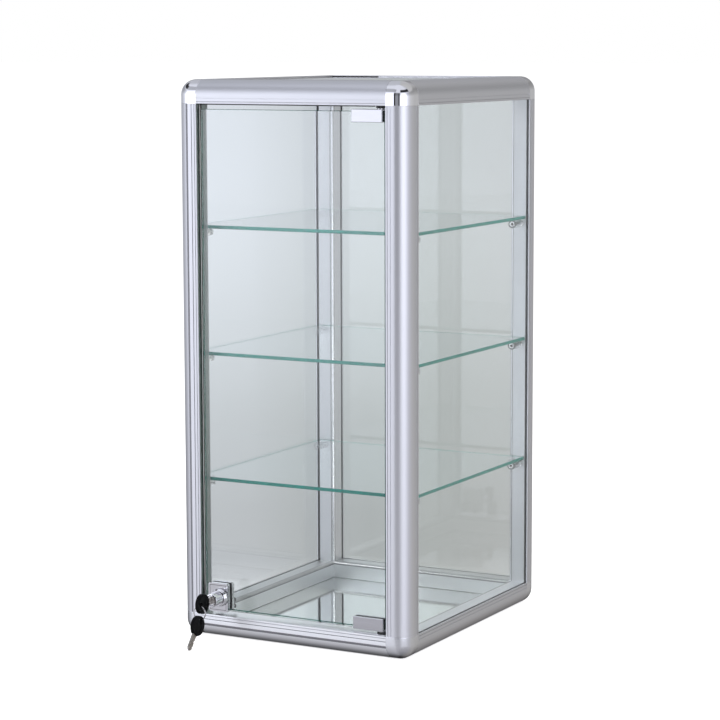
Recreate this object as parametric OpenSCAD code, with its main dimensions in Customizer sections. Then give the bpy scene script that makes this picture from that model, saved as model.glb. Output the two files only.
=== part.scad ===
// Countertop display case: square aluminium bars joined by three-way corner castings,
// glass held in slots in the bars, a frameless glass door on pivot clips at the right,
// glass shelves on pegs, and a clamp-on door lock with its two keys.
// X runs to the right, Y to the back and Z up. The origin is on the surface that the
// case stands on, under the middle of the case. All sizes are in millimetres.

/* [Case] */
// Width across the front
case_w = 304; // [280:2:400]
// Depth from the front face to the back face
case_d = 356; // [320:2:460]
// Height
case_h = 660; // [620:5:760]

/* [Frame bars] */
// Width of the square bars, posts and rails alike
bar = 28; // [28:0.5:30]
// Radius of each bar's outer edge
edge_r = 18; // [14:0.5:18]
// Radius of each bar's inner edge
inner_r = 3; // [1:0.5:3]
// Thickness of the lip outside each glass slot
lip = 1.6; // [1.4:0.1:1.8]
// Width of the glass slot
slot_w = 5.6; // [5.2:0.1:6]
// Depth of the glass slot
slot_depth = 9; // [8.5:0.1:9]
// Width of the fine decorative grooves
groove_w = 0.6; // [0.4:0.1:0.8]
// Depth of the fine decorative grooves
groove_d = 0.4; // [0.2:0.1:0.5]
// Distance of the first groove from the bar's inner edge
groove_in = 2.5; // [2:0.1:3]
// Distance between the two grooves
groove_pitch = 3.9; // [3:0.1:4.5]
// Width of the hollow inside each bar
hollow = 11; // [10:0.5:11]
// How far each corner joiner reaches into a bar
joiner_reach = 14; // [10:1:20]

/* [Glass] */
// Thickness of the fixed panes
pane_t = 4; // [3:0.2:4]
// How far a pane's edge sits in its slot
pane_grip = 7; // [6:0.5:8]
// How far a glazing gasket sits in its slot
gasket_grip = 5; // [4:0.5:6]
// How far a gasket stands out of its slot
gasket_proud = 0.4; // [0.2:0.1:0.6]
// Thickness of the base board's edge under the mirror
board_t = 2.4; // [2:0.2:2.6]

/* [Shelves] */
// Thickness of a shelf
shelf_t = 4; // [4:0.5:6]
// Height of the lowest shelf's underside
first_shelf = 184.4; // [150:0.1:190]
// Distance from one shelf to the next
shelf_pitch = 150.4; // [140:0.1:155]
// Gap between a shelf's side and the gasket
shelf_side_gap = 0.8; // [0.6:0.1:2]
// Gap between a shelf's end and the post
shelf_end_gap = 1; // [0.8:0.1:2]
// Radius of a shelf peg
peg_r = 5; // [4:0.5:6]
// Length of a shelf peg
peg_len = 22; // [16:1:26]
// Distance of a peg's axis from the case's side
peg_in = 16; // [14:0.5:18]

/* [Door] */
// Thickness of the door glass
door_t = 5; // [4:0.5:6]
// How far the door glass sits behind the case's front face
door_back = 7; // [7:0.5:8]
// Gap at the lock side
door_gap = 2.2; // [2:0.1:3]
// Gap at the hinge side
hinge_gap = 4; // [3.5:0.1:5]
// Gap above and below the glass
door_end_gap = 6.2; // [6:0.1:7]
// Length of a hinge clip
clip_len = 39; // [34:1:44]
// How far a hinge clip overlaps the glass
clip_grip = 12.4; // [10:0.2:14]
// Distance of the hinge axis from the right post
pivot_in = 10; // [9:0.5:11]

/* [Lock] */
// Distance of the lock's axis from the left post
lock_in = 25.5; // [24:0.5:30]
// Height of the lock's axis
lock_z = 50; // [50:0.5:52]
// Length of the lock barrel in front of its plate
barrel_len = 21; // [18:0.5:23]
// Travel of the lock bolt
bolt_travel = 9; // [8:0.5:9]

/* [Keys] */
// Radius of a key's round grip
bow_r = 11.75; // [11:0.25:12]
// Thickness of a key's grip
bow_t = 5; // [4:0.5:5]
// Thickness of a key's blade
blade_t = 2; // [1.6:0.1:2.1]
// Radius of the key ring
ring_r = 8; // [8:0.5:8.5]
// How far the spare key leans forward from straight down
spare_lean = 38.5; // [38:0.5:39]

/* [Hidden] */
$fn = 48;
half_w = case_w / 2;
half_d = case_d / 2;
post_len = case_h - 2 * bar;
rail_w = case_w - 2 * bar;
rail_d = case_d - 2 * bar;
cut = 1;
fit = 0.2;

// bar section
slot_from = bar - slot_depth;
hollow_in = lip + slot_w + 1.8;
hollow_end = hollow_in + hollow;
side_hollow = 4.5;
side_hollow_in = hollow_end + 1.5;

// panes and what holds them
gasket_t = slot_w - pane_t;
mirror_t = slot_w - board_t;
pane_in = bar - pane_grip;
gasket_in = bar - gasket_grip;
gasket_hole = bar + gasket_proud;
seal_t = 1.2;
seal_w = 5;
seal_ahead = 0.4;
seal_hinge_gap = 14;

// shelves and pegs
shelf_half_w = half_w - lip - slot_w - shelf_side_gap;
shelf_half_d = half_d - bar - shelf_end_gap;
peg_drop = 0.1;
peg_x = half_w - peg_in;
peg_y = half_d - bar;
screw_r = 2;
screw_hold = 8;
screw_head_r = 3.4;
screw_head_t = 2.2;
screw_sink = 2.8;
socket_r = 1.4;
socket_d = 1.6;

// door and hinges
door_y = -half_d + door_back;
door_left = -half_w + bar + door_gap;
door_right = half_w - bar - hinge_gap;
door_low = bar + door_end_gap;
door_high = case_h - door_low;
pivot_x = half_w - bar - pivot_in;
pivot_y = door_y + door_t / 2;
pad_t = 0.8;
clip_front = 3;
clip_rear = 4;
clip_over = 4.5;
web_t = 2;
flange_t = 2.6;
flange_r = 5.5;
bush_r = 4;
bush_depth = 7;
pin_r = 2.5;
pin_fit = 0.05;
pin_reach = 5;
collar_r = 4.5;
collar_t = 1.2;
grub_r = 2.5;
grub_near = 8;
grub_pitch = 16;

// lock, measured from its axis on the front of the glass
lock_x = -half_w + bar + lock_in;
lock_left = 16;
lock_right = 10.5;
lock_top = 16.5;
lock_low = lock_z - door_low + web_t;
lock_front = 5.5;
lock_rear = 5;
lock_corner = 2.5;
lock_skin = 1.1;
cavity_back = 1.2;
bezel_r = 11;
bezel_t = 3;
bezel_slope = 2;
barrel_r = 8;
plug_r = 6;
plug_fit = 0.05;
plug_sink = 1;
disc_r = 8;
disc_t = 0.7;
cam_r = 1.2;
cam_off = bolt_travel / 2;
cam_play = 0.4;
bolt_t = 2;
bolt_half = 4;
bolt_mid = -3;
bolt_left = -10;
bolt_right = 4;
bar_low = 1.2;
bar_high = 8;
slot_left = -8.4;
slot_right = -2.8;
strike_play_x = 0.8;
strike_play_y = 1.3;
strike_depth = 6.5;
keyway_w = 2.4;
keyway_h = 8.6;
keyway_d = 14.3;
clamp_r = 3;
clamp_shaft_r = 1.5;
clamp_head = 6.5;
clamp_xs = [6.5, -11.5];
clamp_zs = [-6.5, -14];
cavity_front = -pad_t - lock_front + lock_skin;
cavity_rear = -pad_t - cavity_back;
bolt_y = cavity_rear - fit - bolt_t;
barrel_end = -pad_t - lock_front - barrel_len;
plug_end = barrel_end + plug_sink;

// keys, measured from the key's grip hole, with the blade along +Y
hole_r = 3.2;
hole_to_bow = 6;
hole_to_neck = 13;
hole_to_shoulder = hole_to_bow + bow_r;
hole_to_tip = 37.7;
neck_half = 7;
shoulder_half = 4.4;
blade_half = 4;
tip_half = 1.5;
tip_len = 3;
tang_half = 3.2;
tang_from = 12;
notch_pitch = 3.6;
notch_first = 22;
notch_depths = [1.2, 2, 0.8, 1.6];
key_tip_y = -14.3;
key_hole_y = key_tip_y - hole_to_tip;
wire_r = 0.7;
wire_drop = 1.5;
ring_top = lock_z - wire_drop;
ring_low = ring_top - 2 * ring_r;
hang = hole_r - wire_r - 0.6;

// ---- placing ----

// Puts a corner's own frame, measured inwards from the case's outer faces, at one of
// the case's corners. Each sign picks a side: -1 is left, front or bottom.
module at_corner(sx, sy, sz) {
    translate([sx * half_w, sy * half_d, sz > 0 ? case_h : 0])
        mirror([sx > 0 ? 1 : 0, 0, 0])
            mirror([0, sy > 0 ? 1 : 0, 0])
                mirror([0, 0, sz > 0 ? 1 : 0])
                    children();
}

// Stands a flat outline, drawn in Y and Z, up as a plate of the given thickness
// across X, centred on the plane of the outline.
module plate_yz(thickness) {
    translate([-thickness / 2, 0, 0])
        rotate([90, 0, 90])
            linear_extrude(thickness)
                children();
}

// Puts a hinge end's own frame on a rail's inner face at the hinge axis, with +Z
// pointing into the door opening.
module at_hinge(top) {
    translate([pivot_x, pivot_y, top ? case_h - bar : bar])
        mirror([0, 0, top ? 1 : 0])
            children();
}

module at_lock() {
    translate([lock_x, door_y, lock_z])
        children();
}

module at_pegs() {
    for (level = [0 : 2], sx = [-1, 1], sy = [-1, 1])
        translate([sx * peg_x, sy * peg_y, first_shelf + level * shelf_pitch - peg_drop - peg_r])
            rotate([sy * 90, 0, 0])
                children();
}

// ---- frame ----

module quarter_round() {
    intersection() {
        square(edge_r);
        translate([edge_r, edge_r])
            circle(edge_r);
    }
}

module bar_outline() {
    difference() {
        union() {
            quarter_round();
            translate([edge_r, 0])
                square([bar - edge_r, bar]);
            translate([0, edge_r])
                square([bar, bar - edge_r]);
        }
        translate([bar - inner_r, bar - inner_r])
            difference() {
                square(inner_r + cut);
                circle(inner_r);
            }
    }
}

// Section of a bar, measured inwards from its two outer faces. Each slot takes the
// edge of a pane that runs along one of those faces.
module bar_section(slot_x, slot_y) {
    difference() {
        bar_outline();
        if (slot_x)
            translate([lip, slot_from])
                square([slot_w, slot_depth + cut]);
        if (slot_y)
            translate([slot_from, lip])
                square([slot_depth + cut, slot_w]);
        translate([hollow_in, hollow_in])
            square(hollow);
        translate([side_hollow_in, hollow_in])
            square([side_hollow, hollow]);
        translate([hollow_in, side_hollow_in])
            square([hollow, side_hollow]);
        for (step = [0, groove_pitch]) {
            translate([bar - groove_in - step - groove_w / 2, -cut])
                square([groove_w, groove_d + cut]);
            translate([-cut, bar - groove_in - step - groove_w / 2])
                square([groove_d + cut, groove_w]);
        }
    }
}

module post(sx, sy) {
    color("silver")
        difference() {
            at_corner(sx, sy, -1)
                translate([0, 0, bar])
                    linear_extrude(post_len)
                        bar_section(true, sy > 0);
            at_pegs()
                translate([0, 0, -screw_hold - cut])
                    cylinder(r = screw_r, h = screw_hold + 2 * cut);
        }
}

module rail_across(sy, sz) {
    at_corner(-1, sy, sz)
        translate([bar, 0, 0])
            rotate([90, 0, 90])
                linear_extrude(rail_w)
                    bar_section(sy > 0, true);
}

module rail_along(sx, sz) {
    color("silver")
        at_corner(sx, -1, sz)
            translate([0, bar + rail_d, 0])
                rotate([90, 0, 0])
                    linear_extrude(rail_d)
                        bar_section(true, true);
}

module rail_top_front() {
    color("silver")
        difference() {
            rail_across(-1, 1);
            at_hinge(true)
                translate([0, 0, -bush_depth])
                    cylinder(r = bush_r, h = bush_depth + cut);
        }
}

module rail_bottom_front() {
    color("silver")
        difference() {
            rail_across(-1, -1);
            at_hinge(false)
                translate([0, 0, -bush_depth])
                    cylinder(r = bush_r, h = bush_depth + cut);
            translate([lock_x + bolt_mid - bolt_half - strike_play_x,
                       door_y + bolt_y - strike_play_y, bar - strike_depth])
                cube([2 * (bolt_half + strike_play_x), bolt_t + 2 * strike_play_y,
                      strike_depth + cut]);
        }
}

module rail_rear(sz) {
    color("silver")
        rail_across(1, sz);
}

// Solid three-way corner with the bars' outer rounding carried round it.
module corner_block() {
    flat = bar - edge_r;
    intersection() {
        cube(edge_r);
        translate([edge_r, edge_r, edge_r])
            sphere(edge_r);
    }
    translate([0, 0, edge_r])
        linear_extrude(flat)
            quarter_round();
    translate([edge_r, 0, 0])
        rotate([90, 0, 90])
            linear_extrude(flat)
                quarter_round();
    translate([0, bar, 0])
        rotate([90, 0, 0])
            linear_extrude(flat)
                quarter_round();
    translate([edge_r, edge_r, 0])
        cube([flat, flat, bar]);
    translate([edge_r, 0, edge_r])
        cube([flat, bar, flat]);
    translate([0, edge_r, edge_r])
        cube([bar, flat, flat]);
}

// Three arms along the bars' hollows, meeting inside the corner.
module joiner(gap, reach) {
    from = hollow_in + gap;
    thick = hollow - 2 * gap;
    translate([from, from, from])
        cube([reach - from, thick, thick]);
    translate([from, from, from])
        cube([thick, reach - from, thick]);
    translate([from, from, from])
        cube([thick, thick, reach - from]);
}

module cap(sx, sy, sz) {
    color("gainsboro")
        at_corner(sx, sy, sz)
            difference() {
                corner_block();
                joiner(0, bar + cut);
                translate([lip, slot_from, slot_from])
                    cube([slot_w, slot_depth + cut, slot_depth + cut]);
                translate([slot_from, slot_from, lip])
                    cube([slot_depth + cut, slot_depth + cut, slot_w]);
                if (sy > 0)
                    translate([slot_from, lip, slot_from])
                        cube([slot_depth + cut, slot_w, slot_depth + cut]);
            }
}

module corner_joiners() {
    color("dimgray")
        for (sx = [-1, 1], sy = [-1, 1], sz = [-1, 1])
            at_corner(sx, sy, sz)
                joiner(fit / 2, bar + joiner_reach);
}

// ---- fixed glass ----

module pane_side(sx) {
    color("lightcyan", 0.4)
        at_corner(sx, -1, -1)
            translate([lip, pane_in, pane_in])
                cube([pane_t, case_d - 2 * pane_in, case_h - 2 * pane_in]);
}

module pane_rear() {
    color("lightcyan", 0.4)
        at_corner(-1, 1, -1)
            translate([pane_in, lip, pane_in])
                cube([case_w - 2 * pane_in, pane_t, case_h - 2 * pane_in]);
}

// Level sheet in the frame's slots, counted in from the bottom or the top face.
module level_sheet(sz, from, thickness) {
    at_corner(-1, -1, sz)
        translate([pane_in, pane_in, from])
            cube([case_w - 2 * pane_in, case_d - 2 * pane_in, thickness]);
}

module top_glass() {
    color("lightcyan", 0.4)
        level_sheet(1, lip, pane_t);
}

module mirror_floor() {
    color("lightslategray")
        level_sheet(-1, lip + board_t, mirror_t);
}

// The board's edge sits in the slots under the mirror, and the rest of it comes down
// between the bars until it is level with their undersides.
module base_board() {
    color("white")
        union() {
            level_sheet(-1, lip, board_t);
            translate([-rail_w / 2 + fit, -rail_d / 2 + fit, 0])
                cube([rail_w - 2 * fit, rail_d - 2 * fit, lip + board_t]);
        }
}

module gasket_side(sx) {
    color("black")
        at_corner(sx, -1, -1)
            translate([lip + pane_t, 0, 0])
                difference() {
                    translate([0, gasket_in, gasket_in])
                        cube([gasket_t, case_d - 2 * gasket_in, case_h - 2 * gasket_in]);
                    translate([-cut, gasket_hole, gasket_hole])
                        cube([gasket_t + 2 * cut, case_d - 2 * gasket_hole,
                              case_h - 2 * gasket_hole]);
                }
}

module gasket_rear() {
    color("black")
        at_corner(-1, 1, -1)
            translate([0, lip + pane_t, 0])
                difference() {
                    translate([gasket_in, 0, gasket_in])
                        cube([case_w - 2 * gasket_in, gasket_t, case_h - 2 * gasket_in]);
                    translate([gasket_hole, -cut, gasket_hole])
                        cube([case_w - 2 * gasket_hole, gasket_t + 2 * cut,
                              case_h - 2 * gasket_hole]);
                }
}

module gasket_top() {
    color("black")
        at_corner(-1, -1, 1)
            translate([0, 0, lip + pane_t])
                difference() {
                    translate([gasket_in, gasket_in, 0])
                        cube([case_w - 2 * gasket_in, case_d - 2 * gasket_in, gasket_t]);
                    translate([gasket_hole, gasket_hole, -cut])
                        cube([case_w - 2 * gasket_hole, case_d - 2 * gasket_hole,
                              gasket_t + 2 * cut]);
                }
}

module door_seal() {
    color("black") {
        translate([-half_w + bar, door_y - seal_ahead, door_low])
            cube([seal_t, seal_w, case_h - bar - door_low]);
        translate([-half_w + bar, door_y - seal_ahead, case_h - bar - seal_t])
            cube([door_right - seal_hinge_gap + half_w - bar, seal_w, seal_t]);
    }
}

// ---- shelves ----

module peg_sleeves() {
    color("whitesmoke", 0.6)
        at_pegs()
            difference() {
                cylinder(r = peg_r, h = peg_len);
                translate([0, 0, -cut])
                    cylinder(r = screw_r, h = peg_len + 2 * cut);
                translate([0, 0, peg_len - screw_sink])
                    cylinder(r = screw_head_r + fit, h = screw_sink + cut);
            }
}

module peg_screws() {
    color("silver")
        at_pegs()
            difference() {
                union() {
                    translate([0, 0, -screw_hold])
                        cylinder(r = screw_r, h = screw_hold + peg_len - screw_sink + cut);
                    translate([0, 0, peg_len - screw_sink])
                        cylinder(r = screw_head_r, h = screw_head_t);
                }
                translate([0, 0, peg_len - screw_sink + screw_head_t - socket_d])
                    cylinder(r = socket_r, h = socket_d + cut, $fn = 6);
            }
}

module shelf(level) {
    color("paleturquoise", 0.6)
        translate([-shelf_half_w, -shelf_half_d, first_shelf + level * shelf_pitch])
            cube([2 * shelf_half_w, 2 * shelf_half_d, shelf_t]);
}

// ---- door ----

module door_glass() {
    color("lightcyan", 0.4)
        translate([door_left, door_y, door_low])
            cube([door_right - door_left, door_t, door_high - door_low]);
}

// Box of the clip's own frame, from the axis to the left end, between two depths
// measured from the front of the glass and two heights above the rail's inner face.
module clip_box(from_y, to_y, from_z, to_z) {
    translate([clip_over - clip_len, from_y - door_t / 2, from_z])
        cube([clip_len, to_y - from_y, to_z - from_z]);
}

module hinge_clip(top) {
    web_from = door_end_gap - fit - web_t;
    rear = door_t + pad_t + clip_rear;
    color("gainsboro")
        at_hinge(top)
            difference() {
                clip_box(-pad_t - clip_front, rear, web_from, door_end_gap + clip_grip);
                clip_box(-pad_t, door_t + pad_t, web_from + web_t, door_end_gap + clip_grip + cut);
                cylinder(r = pin_r, h = door_end_gap);
                hinge_grubs_at()
                    cylinder(r = grub_r, h = clip_rear + 2 * cut);
            }
}

// Places a grub screw's axis across the clip's rear wall, pointing forwards.
module hinge_grubs_at() {
    for (step = [0, grub_pitch])
        translate([clip_over - grub_near - step, door_t / 2 + pad_t + clip_rear + cut,
                   door_end_gap + clip_grip / 2])
            rotate([90, 0, 0])
                children();
}

module hinge_grub_screws() {
    color("dimgray")
        for (top = [false, true])
            at_hinge(top)
                hinge_grubs_at()
                    difference() {
                        translate([0, 0, cut])
                            cylinder(r = grub_r, h = clip_rear);
                        cylinder(r = socket_r, h = cut + socket_d, $fn = 6);
                    }
}

module hinge_pads() {
    color("black")
        for (top = [false, true])
            at_hinge(top) {
                clip_box(-pad_t, 0, door_end_gap, door_end_gap + clip_grip);
                clip_box(door_t, door_t + pad_t, door_end_gap, door_end_gap + clip_grip);
            }
}

module hinge_pins() {
    web_from = door_end_gap - fit - web_t;
    color("silver")
        for (top = [false, true])
            at_hinge(top) {
                translate([0, 0, -pin_reach])
                    cylinder(r = pin_r, h = pin_reach + web_from + web_t);
                translate([0, 0, web_from - collar_t])
                    cylinder(r = collar_r, h = collar_t);
            }
}

module hinge_bushes() {
    color("black")
        for (top = [false, true])
            at_hinge(top)
                difference() {
                    union() {
                        cylinder(r = flange_r, h = flange_t);
                        translate([0, 0, -bush_depth])
                            cylinder(r = bush_r, h = bush_depth + cut);
                    }
                    translate([0, 0, -bush_depth + cut])
                        cylinder(r = pin_r + pin_fit, h = bush_depth + flange_t);
                }
}

// ---- lock ----

module lock_outline() {
    long = lock_left + lock_right;
    high = lock_top + lock_low;
    translate([-lock_left, -lock_low])
        union() {
            translate([lock_corner, 0])
                square([long - 2 * lock_corner, high]);
            translate([0, lock_corner])
                square([long, high - 2 * lock_corner]);
            for (x = [lock_corner, long - lock_corner], z = [lock_corner, high - lock_corner])
                translate([x, z])
                    circle(lock_corner);
        }
}

// Plate with the lock's outline between two depths.
module lock_plate(from_y, to_y) {
    translate([0, to_y, 0])
        rotate([90, 0, 0])
            linear_extrude(to_y - from_y)
                lock_outline();
}

// Puts an axis at the given depth, pointing forwards.
module forward(y) {
    translate([0, y, 0])
        rotate([90, 0, 0])
            children();
}

module lock_clamps_at(y) {
    for (x = clamp_xs, z = clamp_zs)
        translate([x, 0, z])
            forward(y)
                children();
}

module lock_body() {
    front = -pad_t - lock_front;
    rear = door_t + pad_t + lock_rear;
    low = bolt_mid - bolt_half - fit;
    color("gainsboro")
        at_lock()
            difference() {
                union() {
                    lock_plate(front, rear);
                    forward(front)
                        cylinder(r = bezel_r, h = bezel_t);
                    forward(front - bezel_t)
                        cylinder(r1 = bezel_r, r2 = barrel_r, h = bezel_slope);
                    forward(front)
                        cylinder(r = barrel_r, h = barrel_len);
                }
                translate([-lock_left - cut, -pad_t, web_t - lock_low])
                    cube([lock_left + lock_right + 2 * cut, door_t + 2 * pad_t,
                          lock_top + lock_low]);
                forward(cavity_front + cut)
                    cylinder(r = plug_r + plug_fit, h = lock_skin + cut + barrel_len + cut);
                translate([bolt_left - cam_play, cavity_front, web_t - lock_low])
                    cube([disc_r - bolt_left + 2 * cam_play, cavity_rear - cavity_front,
                          lock_low - web_t + disc_r + 2 * cut]);
                translate([low, bolt_y - fit, -lock_low - cut])
                    cube([2 * (bolt_half + fit), bolt_t + 2 * fit, lock_low]);
                lock_clamps_at(rear + cut)
                    cylinder(r = clamp_shaft_r, h = lock_rear + 2 * cut);
            }
}

module lock_pads() {
    color("black")
        at_lock()
            for (y = [-pad_t, door_t])
                translate([-lock_left, y, fit + web_t - lock_low])
                    cube([lock_left + lock_right, pad_t, lock_top + lock_low - web_t - fit]);
}

module lock_clamp_screws() {
    rear = door_t + pad_t + lock_rear;
    color("black")
        at_lock()
            lock_clamps_at(rear + clamp_head)
                difference() {
                    union() {
                        cylinder(r = clamp_r, h = clamp_head);
                        cylinder(r = clamp_shaft_r, h = clamp_head + lock_rear);
                    }
                    translate([0, 0, -cut])
                        cylinder(r = socket_r, h = cut + socket_d, $fn = 6);
                }
}

module lock_plug() {
    disc_y = cavity_front + fit / 2;
    color("silver")
        at_lock()
            difference() {
                union() {
                    forward(disc_y + disc_t)
                        cylinder(r = disc_r, h = disc_t);
                    forward(disc_y + disc_t)
                        cylinder(r = plug_r, h = disc_y + disc_t - plug_end);
                    translate([-cam_off, 0, cam_off])
                        forward(cavity_rear - fit)
                            cylinder(r = cam_r, h = cavity_rear - fit - disc_y);
                }
                translate([-keyway_w / 2, plug_end - cut, -keyway_h / 2])
                    cube([keyway_w, keyway_d + cut, keyway_h]);
            }
}

module lock_bolt() {
    color("silver")
        at_lock()
            difference() {
                union() {
                    translate([bolt_left, bolt_y, bar_low])
                        cube([bolt_right - bolt_left, bolt_t, bar_high - bar_low]);
                    translate([bolt_mid - bolt_half, bolt_y, 2 * fit - lock_low])
                        cube([2 * bolt_half, bolt_t, lock_low + bar_high - 2 * fit]);
                }
                translate([slot_left, bolt_y - cut, cam_off - cam_r - cam_play])
                    cube([slot_right - slot_left, bolt_t + 2 * cut, 2 * (cam_r + cam_play)]);
            }
}

// ---- keys ----

module blade_outline() {
    difference() {
        polygon([
            [tang_from, -tang_half], [hole_to_shoulder, -tang_half],
            [hole_to_shoulder, -blade_half], [hole_to_tip - tip_len, -blade_half],
            [hole_to_tip, -tip_half], [hole_to_tip, tip_half],
            [hole_to_tip - tip_len, blade_half], [hole_to_shoulder, blade_half],
            [hole_to_shoulder, tang_half], [tang_from, tang_half]
        ]);
        for (i = [0 : len(notch_depths) - 1])
            translate([notch_first + i * notch_pitch, blade_half])
                polygon([
                    [-notch_depths[i], 0], [0, -notch_depths[i]],
                    [notch_depths[i], 0], [0, cut]
                ]);
    }
}

module bow_outline() {
    difference() {
        union() {
            translate([hole_to_bow, 0])
                circle(bow_r);
            polygon([
                [hole_to_neck, -neck_half - 1], [hole_to_shoulder, -shoulder_half],
                [hole_to_shoulder, shoulder_half], [hole_to_neck, neck_half + 1]
            ]);
        }
        circle(hole_r);
    }
}

module key_blade_shape() {
    plate_yz(blade_t)
        blade_outline();
}

module key_grip_shape() {
    difference() {
        plate_yz(bow_t)
            bow_outline();
        plate_yz(blade_t)
            translate([tang_from, -tang_half])
                square([hole_to_shoulder - tang_from + cut, 2 * tang_half]);
    }
}

module at_key() {
    at_lock()
        translate([0, key_hole_y, 0])
            children();
}

// The spare key hangs on the bottom of the ring with its tip just off the surface.
module at_spare() {
    translate([lock_x, door_y + key_hole_y, ring_low])
        rotate([-90 - spare_lean, 0, 0])
            translate([0, hang, 0])
                children();
}

module key_blade() {
    color("rosybrown")
        at_key()
            key_blade_shape();
}

module key_grip() {
    color("black")
        at_key()
            key_grip_shape();
}

module key_ring() {
    color("silver")
        translate([lock_x, door_y + key_hole_y, ring_top - ring_r])
            rotate([90, 0, 0])
                rotate_extrude()
                    translate([ring_r, 0])
                        circle(wire_r);
}

module spare_key_blade() {
    color("rosybrown")
        at_spare()
            key_blade_shape();
}

module spare_key_grip() {
    color("black")
        at_spare()
            key_grip_shape();
}

post(-1, -1);  // post_front_left
post(1, -1);  // post_front_right
post(-1, 1);  // post_rear_left
post(1, 1);  // post_rear_right
rail_top_front();
rail_rear(1);  // rail_top_rear
rail_along(-1, 1);  // rail_top_left
rail_along(1, 1);  // rail_top_right
rail_bottom_front();
rail_rear(-1);  // rail_bottom_rear
rail_along(-1, -1);  // rail_bottom_left
rail_along(1, -1);  // rail_bottom_right
cap(-1, -1, 1);  // cap_top_front_left
cap(1, -1, 1);  // cap_top_front_right
cap(-1, 1, 1);  // cap_top_rear_left
cap(1, 1, 1);  // cap_top_rear_right
cap(-1, -1, -1);  // cap_bottom_front_left
cap(1, -1, -1);  // cap_bottom_front_right
cap(-1, 1, -1);  // cap_bottom_rear_left
cap(1, 1, -1);  // cap_bottom_rear_right
corner_joiners();
pane_side(-1);  // pane_left
pane_side(1);  // pane_right
pane_rear();
top_glass();
mirror_floor();
base_board();
gasket_side(-1);  // gasket_left
gasket_side(1);  // gasket_right
gasket_rear();
gasket_top();
door_seal();
peg_sleeves();
peg_screws();
hinge_bushes();
shelf(2);  // shelf_upper
shelf(1);  // shelf_middle
shelf(0);  // shelf_lower
door_glass();
hinge_clip(true);  // hinge_clip_top
hinge_clip(false);  // hinge_clip_bottom
hinge_pads();
hinge_pins();
hinge_grub_screws();
lock_body();
lock_pads();
lock_clamp_screws();
lock_plug();
lock_bolt();
key_blade();
key_grip();
key_ring();
spare_key_blade();
spare_key_grip();
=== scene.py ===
"""Looks of the display case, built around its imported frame. Its pieces are measured in millimetres, and the
camera, the lamps and the paper in metres."""

import math

import bmesh
import bpy
from mathutils import Matrix, Vector


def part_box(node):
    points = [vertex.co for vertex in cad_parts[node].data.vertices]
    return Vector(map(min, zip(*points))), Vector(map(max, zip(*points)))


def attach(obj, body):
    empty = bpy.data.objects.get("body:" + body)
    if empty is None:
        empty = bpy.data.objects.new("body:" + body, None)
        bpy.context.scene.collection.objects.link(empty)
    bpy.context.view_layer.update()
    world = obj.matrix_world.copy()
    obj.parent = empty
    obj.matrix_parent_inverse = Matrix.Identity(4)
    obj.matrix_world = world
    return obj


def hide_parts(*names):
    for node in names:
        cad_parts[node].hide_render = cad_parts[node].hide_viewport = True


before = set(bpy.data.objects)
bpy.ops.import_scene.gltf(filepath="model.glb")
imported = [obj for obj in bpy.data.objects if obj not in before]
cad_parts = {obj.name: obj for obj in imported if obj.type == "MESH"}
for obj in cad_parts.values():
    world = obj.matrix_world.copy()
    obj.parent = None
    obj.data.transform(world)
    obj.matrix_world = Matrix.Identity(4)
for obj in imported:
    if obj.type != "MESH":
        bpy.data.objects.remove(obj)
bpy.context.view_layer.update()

MM = 0.001


def span(node):
    """Low and high corner of a CAD node, in millimetres."""
    low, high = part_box(node)
    return low / MM, high / MM


def measured(point):
    """A point read from the frame, to the hundredth of a millimetre."""
    return [round(length, 2) for length in point]


def middle(node):
    """Middle of a CAD node, in millimetres."""
    low, high = span(node)
    return Vector(measured((low + high) / 2))


CASE_W, CASE_D, CASE_H = measured(span("cap_top_rear_right")[1] - span("cap_bottom_front_left")[0])
HALF_W, HALF_D = CASE_W / 2, CASE_D / 2
BAR = CASE_H - measured(span("post_front_left")[1])[2]
EDGE_R, INNER_R = 18.0, 3.0
LIP, SLOT_W, SLOT_DEPTH, SLOT_RIM_R = 1.6, 5.6, 9.0, 0.25
GROOVES = (2.5, 6.4)
GROOVE_W, GROOVE_D, GROOVE_RIM_R = 0.7, 0.6, 0.12
LINE_IN, LINE_W = 3.6, 0.9
RIM_R = 0.5
DOOR_Y = measured(span("door_glass")[0])[1]
LOCK = Vector((middle("key_blade").x, DOOR_Y, middle("key_blade").z))  # its axis at the door's front
HINGE = middle("hinge_pins")
BUSH_R = 4.0
KEY_HOLE_Y = middle("key_ring").y - DOOR_Y
TINY, SMALL = 0.01, 0.1
PAST = 2.0  # how far a cutting shape reaches past what it cuts
BEVEL_PROFILE = 0.6


# ---- materials ----

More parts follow.
